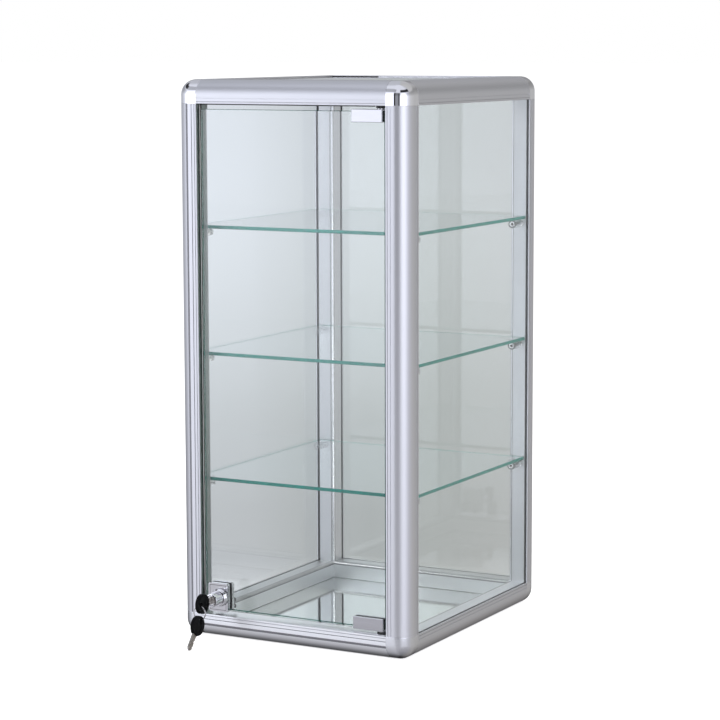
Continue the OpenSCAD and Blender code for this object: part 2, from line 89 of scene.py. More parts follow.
class Nodes:
    """A short way to write a node tree."""

    def __init__(self, tree):
        self.tree = tree
        tree.nodes.clear()

    def add(self, kind, inputs=None, **settings):
        node = self.tree.nodes.new(kind)
        for key, value in settings.items():
            setattr(node, key, value)
        for key, value in (inputs or {}).items():
            if isinstance(value, bpy.types.NodeSocket):
                self.tree.links.new(value, node.inputs[key])
            else:
                node.inputs[key].default_value = value
        return node

    def math(self, operation, a, b):
        return self.add("ShaderNodeMath", {0: a, 1: b}, operation=operation).outputs[0]

    def ramp(self, factor, stops, interpolation="EASE"):
        node = self.add("ShaderNodeValToRGB", {"Fac": factor})
        ramp = node.color_ramp
        ramp.interpolation = interpolation
        while len(ramp.elements) < len(stops):
            ramp.elements.new(0.5)
        for element, (place, colour) in zip(ramp.elements, stops):
            element.position = place
            element.color = (*colour, 1) if hasattr(colour, "__len__") else (colour,) * 3 + (1,)
        return node.outputs[0]

    def spread(self, value, low, high):
        """A value of about 0 to 1, spread over low to high."""
        return self.add("ShaderNodeMapRange", {"Value": value, "To Min": low, "To Max": high}).outputs[0]

    def noise(self, scale, detail=3.0, stretch=(1, 1, 1)):
        place = self.add("ShaderNodeTexCoord").outputs["Object"]
        place = self.add("ShaderNodeMapping", {"Vector": place, "Scale": stretch}).outputs[0]
        return self.add("ShaderNodeTexNoise", {"Vector": place, "Scale": scale, "Detail": detail}).outputs[0]

    def bump(self, height, strength, distance):
        return self.add("ShaderNodeBump", {"Height": height, "Strength": strength,
                                           "Distance": distance}).outputs[0]

    def output(self, shader):
        self.add("ShaderNodeOutputMaterial", {"Surface": shader})


def empty_material(name):
    """A new material and its empty node tree."""
    made = bpy.data.materials.new(name)
    made.use_nodes = True
    return made, Nodes(made.node_tree)


def material(name, colour, variation, noise_scale, rough, rough_scale, stretch=(1, 1, 1), bump=0.0,
             bump_scale=400, bump_depth=0.0001, **plain):
    """Principled material whose colour, roughness and relief vary over the surface. variation is a share of
    the colour, rough the least and greatest roughness, and each scale is that of its own noise."""
    made, n = empty_material(name)
    patches = n.noise(noise_scale, 4, stretch)
    darker = [c * (1 - variation) for c in colour]
    lighter = [min(1, c * (1 + variation)) for c in colour]
    inputs = {"Base Color": n.ramp(patches, [(0.3, darker), (0.7, lighter)], "LINEAR"),
              "Roughness": n.spread(n.noise(rough_scale, 3, stretch), *rough)}
    if bump:
        inputs["Normal"] = n.bump(n.noise(bump_scale, 3, stretch), bump, bump_depth)
    inputs.update(plain)
    n.output(n.add("ShaderNodeBsdfPrincipled", inputs).outputs[0])
    return made


def drawn(axis):
    """Stretch that draws a noise out along one axis, as a die draws a bar."""
    return tuple(0.012 if letter == axis else 1 for letter in "xyz")


def bar_metal(axis, name="anodised", colour=(0.735, 0.74, 0.77)):
    """Satin anodised aluminium with fine draw lines along an axis."""
    return material(f"{name}_{axis}", colour, 0.015, 900, (0.36, 0.4), 3000, drawn(axis), 0.02, 6000, 0.00002,
                    Metallic=1.0)


def shaded_metal(name, colour):
    """Satin metal without draw lines, darkened as painted shade for the flats and corners that the photograph
    shows darker.
    """
    return material(name, colour, 0.03, 900, (0.36, 0.42), 3000, Metallic=1.0)


def glass(name, tint, shadow_tint, roughness=(0.0, 0.004)):
    """Clear glass that lets the lamps through to what is behind it."""
    made, n = empty_material(name)
    pane = n.add("ShaderNodeBsdfPrincipled", {
        "Base Color": (*tint, 1), "IOR": 1.5, "Transmission Weight": 1.0,
        "Roughness": n.spread(n.noise(9, 3), *roughness)}).outputs[0]
    through = n.add("ShaderNodeBsdfTransparent", {"Color": (*shadow_tint, 1)}).outputs[0]
    lamp_ray = n.add("ShaderNodeLightPath").outputs["Is Shadow Ray"]
    n.output(n.add("ShaderNodeMixShader", {0: lamp_ray, 1: pane, 2: through}).outputs[0])
    return made


def edge_glass(name, colour, transmission=0.35):
    """Cut and polished edge, where the light that runs along the sheet comes out green."""
    made, n = empty_material(name)
    streaks = n.noise(900, 2, (1, 1, 0.15))
    darker = [c * 0.85 for c in colour]
    lighter = [min(1, c * 1.15) for c in colour]
    n.output(n.add("ShaderNodeBsdfPrincipled", {
        "Base Color": n.ramp(streaks, [(0.3, darker), (0.75, lighter)], "LINEAR"),
        "Roughness": n.spread(n.noise(300), 0.05, 0.14), "IOR": 1.5,
        "Transmission Weight": transmission}).outputs[0])
    return made


BAR_METAL = {axis: bar_metal(axis) for axis in "xyz"}
# Darker copy of the bar metal for the rear left post's inner flat: painted shade.
SHADED_POST_METAL = bar_metal("z", "painted_shade_anodised", (0.62, 0.625, 0.645))
# Lighter copy of the bar metal for the bottom rails: painted light.
PAINTED_LIGHT_METAL = {axis: bar_metal(axis, "painted_light_anodised", (0.93, 0.94, 0.955)) for axis in "xy"}
# Dark finishes for the grooves and the notch by the inner corner: painted shade in the recesses.
GROOVE_SHADE = material("groove_painted_shade", (0.26, 0.26, 0.28), 0.1, 500, (0.45, 0.55), 1500, Metallic=0.8)
GROOVE_FAINT_SHADE = material("groove_faint_painted_shade", (0.58, 0.58, 0.6), 0.08, 500, (0.45, 0.55), 1500, Metallic=0.9)
# Brighter, glossier metal for the posts' inner corners: a painted highlight line.
HIGHLIGHT_CORNER = material("painted_highlight_corner", (0.92, 0.92, 0.94), 0.02, 900, (0.16, 0.2), 3000,
                         Metallic=1.0)
SHADED_JAMB = shaded_metal("shaded_jamb", (0.33, 0.37, 0.355))
SHADED_SILL = shaded_metal("shaded_sill", (0.55, 0.56, 0.56))
# Darker finish for the rails' inner corners: painted shade.
SHADED_CORNER = shaded_metal("painted_shade_corner", (0.5, 0.5, 0.51))
SEAL_PALE = material("seal_carrier", (0.85, 0.85, 0.86), 0.04, 500, (0.4, 0.5), 900, bump=0.1)
RAW_SLOT = material("raw_slot", (0.45, 0.45, 0.45), 0.04, 400, (0.5, 0.6), 900, Metallic=0.1)
CHROME = material("corner_chrome", (0.84, 0.84, 0.86), 0.02, 40, (0.03, 0.07), 70, Metallic=1.0)
FOOT_METAL = material("satin_corner", (0.76, 0.77, 0.8), 0.02, 300, (0.22, 0.28), 900, Metallic=1.0)
LOCK_CHROME = material("lock_chrome", (0.62, 0.62, 0.64), 0.03, 60, (0.04, 0.1), 180, Metallic=1.0)
SATIN = material("hinge_satin", (0.47, 0.47, 0.49), 0.03, 300, (0.12, 0.18), 1500, (0.05, 1, 1), 0.03,
                 3000, 0.00003, Metallic=1.0)
STEEL = material("bright_steel", (0.72, 0.72, 0.72), 0.08, 400, (0.16, 0.28), 900, Metallic=1.0)
JOINER = material("cast_joiner", (0.3, 0.3, 0.31), 0.1, 200, (0.5, 0.65), 400, bump=0.2, Metallic=0.9)
# Black oxide for the screws, also used as painted shade in the peg sockets and the lock's rings and
# engraving.
BLACK_OXIDE_AND_SHADE = material("black_oxide_and_painted_shade", (0.02, 0.02, 0.022), 0.2, 500, (0.3, 0.45), 900, Metallic=0.4)
RUBBER = material("gasket_rubber", (0.02, 0.02, 0.022), 0.2, 300, (0.45, 0.6), 600, bump=0.15)
NYLON = material("bush_nylon", (0.02, 0.02, 0.021), 0.15, 300, (0.35, 0.5), 600, bump=0.1)
BOARD = material("base_board", (0.5, 0.48, 0.45), 0.06, 50, (0.5, 0.62), 300, bump=0.1, bump_scale=900)
KEY_PLASTIC = material("key_plastic", (0.003, 0.003, 0.0035), 0.2, 200, (0.4, 0.5), 500, bump=0.08,
                       bump_scale=1500, **{"Specular IOR Level": 0.08})
KEY_METAL = material("key_nickel", (0.4, 0.375, 0.35), 0.12, 250, (0.2, 0.36), 1200, (1, 0.1, 1), 0.06,
                     3000, 0.00003, Metallic=1.0)
PANE = glass("pane_glass", (0.95, 0.972, 0.966), (0.93, 0.95, 0.945))
SHELF = glass("shelf_glass", (0.925, 0.97, 0.95), (0.92, 0.95, 0.94))
PANE_EDGE = edge_glass("pane_edge", (0.1, 0.3, 0.24))
SHELF_EDGE = edge_glass("shelf_edge", (0.0, 0.28, 0.23))
DOOR_EDGE = edge_glass("door_edge", (0.01, 0.1, 0.075), 0.4)
SILVER = material("mirror_silver", (0.86, 0.9, 0.89), 0.01, 6, (0.0, 0.01), 20, Metallic=1.0)
CLEAR = glass("peg_acrylic", (0.93, 0.95, 0.95), (0.85, 0.87, 0.87), (0.02, 0.08))


# ---- meshes ----

def bevelled(bm, edges, width, segments=2, clamp=True):
    """Rounds the given edges of a bmesh."""
    bmesh.ops.bevel(bm, geom=edges, offset=width, segments=segments, profile=BEVEL_PROFILE, affect="EDGES",
                    clamp_overlap=clamp)
    return bm


def sharp_edges(bm, over):
    """Edges whose two faces meet at more than an angle in degrees."""
    return [e for e in bm.edges if len(e.link_faces) == 2 and e.calc_face_angle(0) > math.radians(over)]


def finished(name, bm, materials, body, nodes, sharp=32):
    """Turns a bmesh in millimetres into a piece that rides on a body and stands for CAD nodes."""
    bmesh.ops.recalc_face_normals(bm, faces=bm.faces)
    bmesh.ops.scale(bm, vec=(MM, MM, MM), verts=bm.verts)
    for face in bm.faces:
        face.smooth = True
    for edge in sharp_edges(bm, sharp):
        edge.smooth = False
    mesh = bpy.data.meshes.new(name)
    bm.to_mesh(mesh)
    bm.free()
    for item in materials if isinstance(materials, list) else [materials]:
        mesh.materials.append(item)
    piece = bpy.data.objects.new(name, mesh)
    bpy.context.scene.collection.objects.link(piece)
    even = piece.modifiers.new("even_shading", "WEIGHTED_NORMAL")
    even.keep_sharp = True
    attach(piece, body)
    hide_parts(*nodes)


def arc_steps(radius):
    """Straight pieces that a rounded corner is drawn with."""
    if radius > 10:
        return 20
    return 8 if radius > 1 else 3


def rounded(corners):
    """Closed outline with each corner (u, v, radius) rounded."""
    outline = []
    count = len(corners)
    for i, (u, v, r) in enumerate(corners):
        here = Vector((u, v))
        if not r:
            outline.append(here)
            continue
        before = (Vector(corners[i - 1][:2]) - here).normalized()
        after = (Vector(corners[(i + 1) % count][:2]) - here).normalized()
        half = before.angle(after) / 2
        centre = here + (before + after).normalized() * (r / math.sin(half))
        start = here + before * (r / math.tan(half)) - centre
        turn = start.angle_signed(here + after * (r / math.tan(half)) - centre)
        steps = arc_steps(r)
        for k in range(steps + 1):
            a = -turn * k / steps
            outline.append(centre + Vector((start.x * math.cos(a) - start.y * math.sin(a),
                                            start.x * math.sin(a) + start.y * math.cos(a))))
    return outline


def extruded(outline, place, start, end, chamfer=0.0, finish=lambda u, v: 0):
    """Solid of an outline between two heights. place turns (u, v, w) into a point, and finish picks the
    material of each strip of the side from the middle of its piece of outline."""
    bm = bmesh.new()
    ends = []
    for w in (start, end):
        ends.append([bm.verts.new(place(p.x, p.y, w)) for p in outline])
    count = len(outline)
    for i in range(count):
        j = (i + 1) % count
        side = bm.faces.new((ends[0][i], ends[0][j], ends[1][j], ends[1][i]))
        side.material_index = finish(*(outline[i] + outline[j]) / 2)
    caps = [bm.faces.new(ends[0][::-1]), bm.faces.new(ends[1])]
    if chamfer:
        bevelled(bm, [e for face in caps for e in face.edges], chamfer)
    return bm


def block(low, high, bevel=0.0, segments=2):
    """Block between its low and high corner."""
    bm = bmesh.new()
    bmesh.ops.create_cube(bm, size=1)
    low, high = Vector(low), Vector(high)
    bmesh.ops.scale(bm, vec=high - low, verts=bm.verts)
    bmesh.ops.translate(bm, vec=(low + high) / 2, verts=bm.verts)
    if bevel:
        bevelled(bm, bm.edges[:], bevel, segments, clamp=False)
    return bm


def block_between(a, b, bevel=0.0):
    """Block between any two opposite corners."""
    return block([min(pair) for pair in zip(a, b)], [max(pair) for pair in zip(a, b)], bevel)


def turned(profile, place, steps):
    """Solid of revolution of (radius, height) points. place turns (x, y, height) into a point. A profile that
    starts off the axis is closed into a ring."""
    bm = bmesh.new()
    rings = []
    for r, h in profile:
        around = [2 * math.pi * k / steps for k in range(steps)] if r else [0]
        rings.append([bm.verts.new(place(r * math.cos(a), r * math.sin(a), h)) for a in around])
    closed = profile[0][0] > 0
    pairs = list(zip(rings, rings[1:])) + ([(rings[-1], rings[0])] if closed else [])
    for a, b in pairs:
        for k in range(steps):
            m = (k + 1) % steps
            if len(a) == 1 and len(b) == 1:
                continue
            if len(a) == 1:
                bm.faces.new((a[0], b[m], b[k]))
            elif len(b) == 1:
                bm.faces.new((a[k], a[m], b[0]))
            else:
                bm.faces.new((a[k], a[m], b[m], b[k]))
    return bm


def joined(*parts):
    """One bmesh of several."""
    whole = bmesh.new()
    for part in parts:
        mesh = bpy.data.meshes.new("part")
        part.to_mesh(mesh)
        part.free()
        whole.from_mesh(mesh)
        bpy.data.meshes.remove(mesh)
    return whole


def as_object(name, bm):
    """Scene object of a bmesh, which is used up."""
    mesh = bpy.data.meshes.new(name)
    bm.to_mesh(mesh)
    bm.free()
    made = bpy.data.objects.new(name, mesh)
    bpy.context.scene.collection.objects.link(made)
    return made


def cut(bm, *cutters):
    """bm with the cutters taken out of it."""
    target = as_object("body", bm)
    made = [target]
    for cutter in cutters:
        tool = as_object("cutter", cutter)
        made.append(tool)
        step = target.modifiers.new("cut", "BOOLEAN")
        step.object = tool
        step.operation = "DIFFERENCE"
        step.solver = "EXACT"
    result = bpy.data.meshes.new_from_object(target.evaluated_get(bpy.context.evaluated_depsgraph_get()))
    whole = bmesh.new()
    whole.from_mesh(result)
    for item in made:
        old = item.data
        bpy.data.objects.remove(item)
        bpy.data.meshes.remove(old)
    bpy.data.meshes.remove(result)
    return whole


def softened(bm, width, segments):
    """Rounds the sharper edges of a cut bmesh."""
    bmesh.ops.remove_doubles(bm, verts=bm.verts, dist=0.001)
    bmesh.ops.dissolve_limit(bm, angle_limit=math.radians(1), verts=bm.verts, edges=bm.edges)
    return bevelled(bm, sharp_edges(bm, 35), width, segments)


# ---- frame: bars and corners ----

SKIN, NEAR_GROOVE, FAR_GROOVE, CORNER, IN_SLOT, SHADED_LINE, FLAT = range(7)


def bar_corners(slot_u, slot_v):
    """Section of a bar, inwards from its outer faces. slot_u is cut from v = BAR and slot_v from u = BAR."""
    first, second = LIP, LIP + SLOT_W
    deep = BAR - SLOT_DEPTH
    near, far = (BAR - g for g in GROOVES)
    half, line = GROOVE_W / 2, BAR - LINE_IN

    def groove(at):
        return [(at - half, 0, GROOVE_RIM_R), (at - half, GROOVE_D, 0), (at + half, GROOVE_D, 0),
                (at + half, 0, GROOVE_RIM_R)]

    flank = groove(far) + groove(near)
    inner = [(BAR, line - LINE_W / 2, 0), (BAR - LINE_W / 2, line, 0), (BAR, line + LINE_W / 2, 0)]
    corners = [(0, 0, EDGE_R)] + flank + [(BAR, 0, RIM_R)]
    if slot_v:
        corners += [(BAR, first, SLOT_RIM_R), (deep, first, 0), (deep, second, 0), (BAR, second, SLOT_RIM_R)]
    corners += inner + [(BAR, BAR, INNER_R)] + [(v, u, r) for u, v, r in inner[::-1]]
    if slot_u:
        corners += [(second, BAR, SLOT_RIM_R), (second, deep, 0), (first, deep, 0), (first, BAR, SLOT_RIM_R)]
    return corners + [(0, BAR, RIM_R)] + [(v, u, r) for u, v, r in flank[::-1]]


def bar_finish(u, v):
    """Material of a strip of a bar, from the middle of its piece of outline."""
    shallow, across = min(u, v), BAR - max(u, v)
    if across > RIM_R and SMALL < shallow < GROOVE_D + TINY:
        return NEAR_GROOVE if abs(across - GROOVES[0]) < GROOVE_W else FAR_GROOVE
    # The notch near the inner corner takes a painted-shade finish.
    if TINY < across < LINE_W and abs(BAR - shallow - LINE_IN) < LINE_W / 2:
        return SHADED_LINE
    if min(u, v) > BAR - INNER_R - SMALL:
        return CORNER
    if LIP - TINY < shallow < LIP + SLOT_W + TINY and SLOT_RIM_R < across < SLOT_DEPTH + SMALL:
        return IN_SLOT
    return SKIN


def corner_place(sx, sy, sz):
    """Turns inward distances from one of the case's corners into a point."""
    def place(a, b, c):
        return Vector((sx * (HALF_W - a), sy * (HALF_D - b), CASE_H - c if sz > 0 else c))
    return place


SIDE_WORD = {-1: "left", 1: "right"}
END_WORD = {-1: "front", 1: "rear"}
LEVEL_WORD = {-1: "bottom", 1: "top"}

# Bars that the photograph shows darker or paler in places, given painted shade or painted light there.
SHADED_GROOVE_BARS = ("post_front_left", "rail_bottom_front")
SHADED_INNER_FLAT = {"post_front_left": SHADED_JAMB, "post_rear_left": SHADED_POST_METAL,
              "rail_bottom_left": SHADED_SILL, "rail_bottom_rear": SHADED_SILL}
PAINTED_LIGHT_BARS = ("rail_bottom_front", "rail_bottom_rear", "rail_bottom_left")


def finish_for(node):
    """Finish of one bar's strips: as bar_finish, but the dark line's finish in a post's groove beside the
    side panes, and
    FLAT on one inner flat, which faces the doorway on a front post, the front on a rear post and up or down
    on a rail. The grooves and the line carry painted shade, and so does the flat on some bars."""
    def finish(u, v):
        inward, across = (u, v) if node.startswith("post_front") else (v, u)
        if inward > BAR - TINY and LIP + SLOT_W < across < BAR - LINE_IN - LINE_W / 2:
            return FLAT
        found = bar_finish(u, v)
        beside_pane = found == NEAR_GROOVE and u < v and node.startswith("post")
        return SHADED_LINE if beside_pane else found
    return finish


def bar(node, axis, section, place, length, holes=()):
    """One bar along an axis, between the corners, with holes cut in it."""
    bm = extruded(rounded(section), place, BAR, length - BAR, finish=finish_for(node))
    if holes:
        bm = cut(bm, *holes)
    # The bottom rails take the lighter copy of the metal as painted light.
    skin = PAINTED_LIGHT_METAL[axis] if node in PAINTED_LIGHT_BARS else BAR_METAL[axis]
    # On some bars the far groove takes the darker painted shade.
    far_groove = GROOVE_SHADE if node in SHADED_GROOVE_BARS else skin
    # Posts' inner corners get the painted highlight, rails' the painted shade.
    corner = HIGHLIGHT_CORNER if axis == "z" else SHADED_CORNER
    # Some inner flats are darkened as painted shade.
    flat = SHADED_INNER_FLAT.get(node, skin)
    finished(f"bar_{node}", bm, [skin, GROOVE_FAINT_SHADE, far_groove, corner, RAW_SLOT, GROOVE_SHADE, flat], "case",
             [node])


BUSH_HOLE_R, BUSH_HOLE_D = BUSH_R + 0.02, 8
STRIKE_X, STRIKE_Y, STRIKE_D = (-7.8, 1.8), (-5.5, -0.9), 6.5


def bush_hole(inner_face):
    """Cutter for a hinge bush's hole, either way from a front rail's inner face."""
    low, high = inner_face - BUSH_HOLE_D, inner_face + BUSH_HOLE_D
    return turned([(0, low), (0, high), (BUSH_HOLE_R, high), (BUSH_HOLE_R, low)],
                  lambda x, y, h: Vector((HINGE.x + x, HINGE.y + y, h)), 32)


def strike_pocket():
    """Cutter for the pocket that the lock's bolt drops into."""
    return block((LOCK.x + STRIKE_X[0], LOCK.y + STRIKE_Y[0], BAR - STRIKE_D),
                 (LOCK.x + STRIKE_X[1], LOCK.y + STRIKE_Y[1], BAR + PAST))


for sx in (-1, 1):
    for sy in (-1, 1):
        bar(f"post_{END_WORD[sy]}_{SIDE_WORD[sx]}", "z", bar_corners(True, sy > 0), corner_place(sx, sy, -1),
            CASE_H)

for sz in (-1, 1):
    for sy in (-1, 1):
        place = corner_place(-1, sy, sz)
        holes = []
        if sy < 0:
            holes.append(bush_hole(CASE_H - BAR if sz > 0 else BAR))
            if sz < 0:
                holes.append(strike_pocket())
        bar(f"rail_{LEVEL_WORD[sz]}_{END_WORD[sy]}", "x", bar_corners(sy > 0, True),
            lambda u, v, w, place=place: place(w, u, v), CASE_W, holes)
    for sx in (-1, 1):
        place = corner_place(sx, -1, sz)
        bar(f"rail_{LEVEL_WORD[sz]}_{SIDE_WORD[sx]}", "y", bar_corners(True, True),
            lambda u, v, w, place=place: place(u, w, v), CASE_D)

CAP_STEPS = [*range(0, int(EDGE_R) + 1, 2), (EDGE_R + BAR) / 2, BAR]
CAP_BEVEL, CAP_SHARP = 0.35, 50


def cap_shell(place):
    """A cube whose outer edges and corner are rolled to the bars' radius."""
    bm = bmesh.new()
    known = {}

    def vertex(p):
        key = tuple(round(x, 4) for x in p)
        if key not in known:
            centre = Vector([max(x, EDGE_R) for x in p])
            out = Vector(p) - centre
            if out.length:
                out = out.normalized() * EDGE_R
            known[key] = bm.verts.new(place(*(centre + out)))
        return known[key]

    for axis in range(3):
        for i in range(len(CAP_STEPS) - 1):
            for j in range(len(CAP_STEPS) - 1):
                quad = []
                for u, v in ((i, j), (i + 1, j), (i + 1, j + 1), (i, j + 1)):
                    p = [CAP_STEPS[u], CAP_STEPS[v]]
                    p.insert(axis, 0)
                    quad.append(vertex(p))
                bm.faces.new(quad)
        ring = []
        others = [k for k in range(3) if k != axis]
        path = [(s, 0) for s in CAP_STEPS[:0:-1]] + [(0, s) for s in CAP_STEPS[:-1]] + [(0, BAR), (BAR, BAR)]
        for s, t in path:
            p = [0, 0, 0]
            p[axis] = BAR
            p[others[0]], p[others[1]] = s, t
            ring.append(vertex(p))
        bm.faces.new(ring)
    bmesh.ops.recalc_face_normals(bm, faces=bm.faces)
    return bevelled(bm, sharp_edges(bm, CAP_SHARP), CAP_BEVEL)


def corner_cap(sx, sy, sz):
    """Rounded three-way corner, with the panes' slots cut on through it."""
    place = corner_place(sx, sy, sz)
    inside, in_slot = (BAR - SLOT_DEPTH, BAR + PAST), (LIP, LIP + SLOT_W)
    spans = [(in_slot, inside, inside), (inside, inside, in_slot)]
    if sy > 0:
        spans.append((inside, in_slot, inside))
    slots = [block_between(place(a[0], b[0], c[0]), place(a[1], b[1], c[1])) for a, b, c in spans]
    node = f"cap_{LEVEL_WORD[sz]}_{END_WORD[sy]}_{SIDE_WORD[sx]}"
    finished(f"corner_{node}", cut(cap_shell(place), *slots), CHROME if sz > 0 else FOOT_METAL, "case",
             [node])


for sx in (-1, 1):
    for sy in (-1, 1):
        for sz in (-1, 1):
            corner_cap(sx, sy, sz)


# ---- glass, gaskets and base ----

SILVER_T, SILVER_GAP = 0.2, 0.05
STRIP_W, STRIP_BACK = 4.95, 0.03
SHADOW_STRIP_W, SHADOW_STRIP_END = 0.7, -58


def sheet(name, low, high, faces, edges, body, slot, nodes, arris=0.4):
    """Sheet of glass with ground corners. Its two broad faces and its edges are finished differently."""
    bm = block(low, high, arris, 1)
    size = Vector(high) - Vector(low)
    thin = min(range(3), key=lambda k: size[k])
    for face in bm.faces:
        face.normal_update()
        face.material_index = 0 if abs(face.normal[thin]) > 0.9 else 1
    finished(name, bm, [faces, edges], body, nodes, 20)


for node in ("pane_left", "pane_right", "pane_rear", "top_glass"):
    sheet(f"sheet_{node}", *span(node), PANE, PANE_EDGE, "case", "pane_glass", [node])
sheet("sheet_door", *span("door_glass"), PANE, DOOR_EDGE, "door", "pane_glass", ["door_glass"], 0.5)
for level in ("upper", "middle", "lower"):
    sheet(f"sheet_shelf_{level}", *span(f"shelf_{level}"), SHELF, SHELF_EDGE, f"{level}_shelf", "shelf_glass",
          [f"shelf_{level}"])

low, high = span("mirror_floor")
sheet("mirror_glass", low + Vector((0, 0, SILVER_T + SILVER_GAP)), high, PANE, PANE_EDGE, "case", "mirror",
      ["mirror_floor"], 0.3)
finished("mirror_backing", block(low, (high.x, high.y, low.z + SILVER_T)), SILVER, "case",
         ["mirror_floor"])


def dress(node, finish):
    """Keeps a CAD node's shape and gives it a finish."""
    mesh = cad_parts[node].data
    mesh.materials.clear()
    mesh.materials.append(finish)


def gasket(node, thin, across, along, *more):
    """Glazing strip all round a pane, set back a little from the lips that hold it. more goes with it."""
    low, high = span(node)
    t, a, b = ("xyz".index(letter) for letter in (thin, across, along))
    strips = []
    for k in (a, b):
        for far in (False, True):
            start, end = low.copy(), high.copy()
            if far:
                start[k] = end[k] - STRIP_W
            else:
                end[k] = start[k] + STRIP_W
            start[t] += STRIP_BACK
            end[t] -= STRIP_BACK
            strips.append(block(start, end, 0.2))
    finished(f"strip_{node}", joined(*strips, *more), RUBBER, "case", [node])


# Dark rubber strip along part of the rear top rail, joined to the top gasket: a painted shadow line.
top_shadow_strip = block((BAR - HALF_W, HALF_D - BAR - SHADOW_STRIP_W, CASE_H - LIP + STRIP_BACK),
                 (SHADOW_STRIP_END, HALF_D - BAR, CASE_H - SHADOW_STRIP_W), 0.2)
gasket("gasket_left", "x", "y", "z")
gasket("gasket_right", "x", "y", "z")
gasket("gasket_rear", "y", "x", "z")
gasket("gasket_top", "z", "x", "y", top_shadow_strip)
dress("corner_joiners", JOINER)
dress("base_board", BOARD)

SEAL_T, SEAL_LIP = 1.2, 0.7
SEAL_GROOVE, SEAL_RIDGE = 0.9, 0.4
low, high = span("door_seal")
lip, ridge, mid = low.x + SEAL_LIP, low.x + SEAL_T, (low.y + high.y) / 2
seal_section = [(low.x, low.y, 0), (lip, low.y, 0.3), (lip, mid - SEAL_GROOVE, 0.2),
                (ridge, mid - SEAL_RIDGE, 0.2), (ridge, mid + SEAL_RIDGE, 0.2), (lip, mid + SEAL_GROOVE, 0.2),
                (lip, high.y, 0.3), (low.x, high.y, 0)]


def seal_finish(u, v):
    """The seal's front flat shows its pale carrier, and the rest is rubber."""
    return 1 if u > lip - SMALL and low.y + 2 * SMALL < v < mid - SEAL_GROOVE + SMALL else 0


upright = extruded(rounded(seal_section), lambda u, v, w: Vector((u, v, w)), low.z, high.z,
                   finish=seal_finish)
lintel = block((ridge, low.y, high.z - SEAL_T), (high.x, high.y, high.z - 0.02), 0.2)
finished("seal_strip", joined(upright, lintel), [RUBBER, SEAL_PALE], "case", ["door_seal"])


# ---- shelf pegs ----

PEG_R, PEG_LEN, PEG_DROP, PEG_IN = 4.95, 21.95, 5.1, 16
SCREW_R, SCREW_HOLD, SCREW_BORE = 1.9, 7.5, 2.0
HEAD_R, HEAD_SEAT, HEAD_TOP, SINK_R = 3.4, 19.2, 21.4, 3.6
SOCKET_R, SOCKET_AT = 1.5, 19.8
# Profiles of (radius, distance out of the post).
SLEEVE = [(SCREW_BORE, 0.02), (PEG_R - 0.35, 0.02), (PEG_R, 0.35), (PEG_R, PEG_LEN - 0.45),
          (PEG_R - 0.45, PEG_LEN), (SINK_R + 0.4, PEG_LEN), (SINK_R, PEG_LEN - 0.35),
          (SINK_R, HEAD_SEAT + 0.05), (SCREW_BORE, HEAD_SEAT + 0.05)]
SCREW = [(0, -SCREW_HOLD), (SCREW_R - 0.4, -SCREW_HOLD), (SCREW_R, 0.5 - SCREW_HOLD), (SCREW_R, HEAD_SEAT),
         (HEAD_R - 0.3, HEAD_SEAT), (HEAD_R, HEAD_SEAT + 0.4), (HEAD_R, HEAD_TOP - 0.5),
         (HEAD_R - 0.3, HEAD_TOP - 0.05), (SOCKET_R + 0.1, HEAD_TOP), (SOCKET_R, SOCKET_AT + 0.2),
         (0, SOCKET_AT)]
# Dark plug that fills each screw head's socket: painted shade.
SOCKET_SHADE = [(0, SOCKET_AT + 0.05), (SOCKET_R - 0.05, SOCKET_AT + 0.05), (SOCKET_R - 0.05, HEAD_TOP - 0.2),
          (0, HEAD_TOP - 0.5)]

sleeves, screws, socket_shades = [], [], []
for level in ("lower", "middle", "upper"):
    under = measured(span(f"shelf_{level}")[0])[2]
    for sx in (-1, 1):
        for sy in (-1, 1):
            centre = Vector((sx * (HALF_W - PEG_IN), sy * (HALF_D - BAR), under - PEG_DROP))

            def along(x, y, h, centre=centre, sy=sy):
                return centre + Vector((x, -sy * h, y))

            sleeves.append(turned(SLEEVE, along, 32))
            screws.append(turned(SCREW, along, 24))
            socket_shades.append(turned(SOCKET_SHADE, along, 12))
finished("pegs_clear", joined(*sleeves), CLEAR, "case", ["peg_sleeves"])
finished("pegs_screws", joined(*screws), STEEL, "case", ["peg_screws"])
# The socket plugs are painted shade.
finished("pegs_socket_shade", joined(*socket_shades), BLACK_OXIDE_AND_SHADE, "case", ["peg_screws"])


# ---- hinges ----

# From the hinge axis, with z and the heights of the profiles counted into the doorway from the bar.
CLIP_X, CLIP_Y, CLIP_Z = (-34.5, 4.5), (-6.3, 7.3), (4.0, 18.6)
GRIP, WEB_Z, PAD_FROM = 3.3, 6.0, 2.52
PIN_R, PIN_HOLE_R, PIN_REACH = 2.5, 2.55, 5.0
COLLAR_R, COLLAR_Z = 4.5, 2.8
BUSH_D, FLANGE_R, FLANGE_T = 6.8, 5.5, 2.6
GRUB_R, GRUB_X, GRUB_Z, GRUB_PITCH = 2.4, -3.5, 12.4, 16
PIN = [(0, -PIN_REACH), (PIN_R - 0.4, -PIN_REACH), (PIN_R, 0.4 - PIN_REACH), (PIN_R, COLLAR_Z),
       (COLLAR_R - 0.3, COLLAR_Z), (COLLAR_R, COLLAR_Z + 0.3), (COLLAR_R, CLIP_Z[0] - 0.05),
       (PIN_R - 0.02, CLIP_Z[0] - 0.05), (PIN_R - 0.02, WEB_Z - 0.1), (0, WEB_Z - 0.1)]
BUSH = [(PIN_HOLE_R, -BUSH_D), (BUSH_R - 0.3, -BUSH_D), (BUSH_R, 0.3 - BUSH_D), (BUSH_R, -0.02),
        (FLANGE_R - 0.2, 0.02), (FLANGE_R, 0.25), (FLANGE_R, FLANGE_T - 0.3), (FLANGE_R - 0.3, FLANGE_T),
        (PIN_HOLE_R + 0.15, FLANGE_T), (PIN_HOLE_R, FLANGE_T - 0.15)]
GRUB = [(0, 1.7), (1.35, 1.6), (1.45, 0.3), (1.9, 0.1), (GRUB_R, 0.5), (GRUB_R, 3.9), (0, 3.9)]

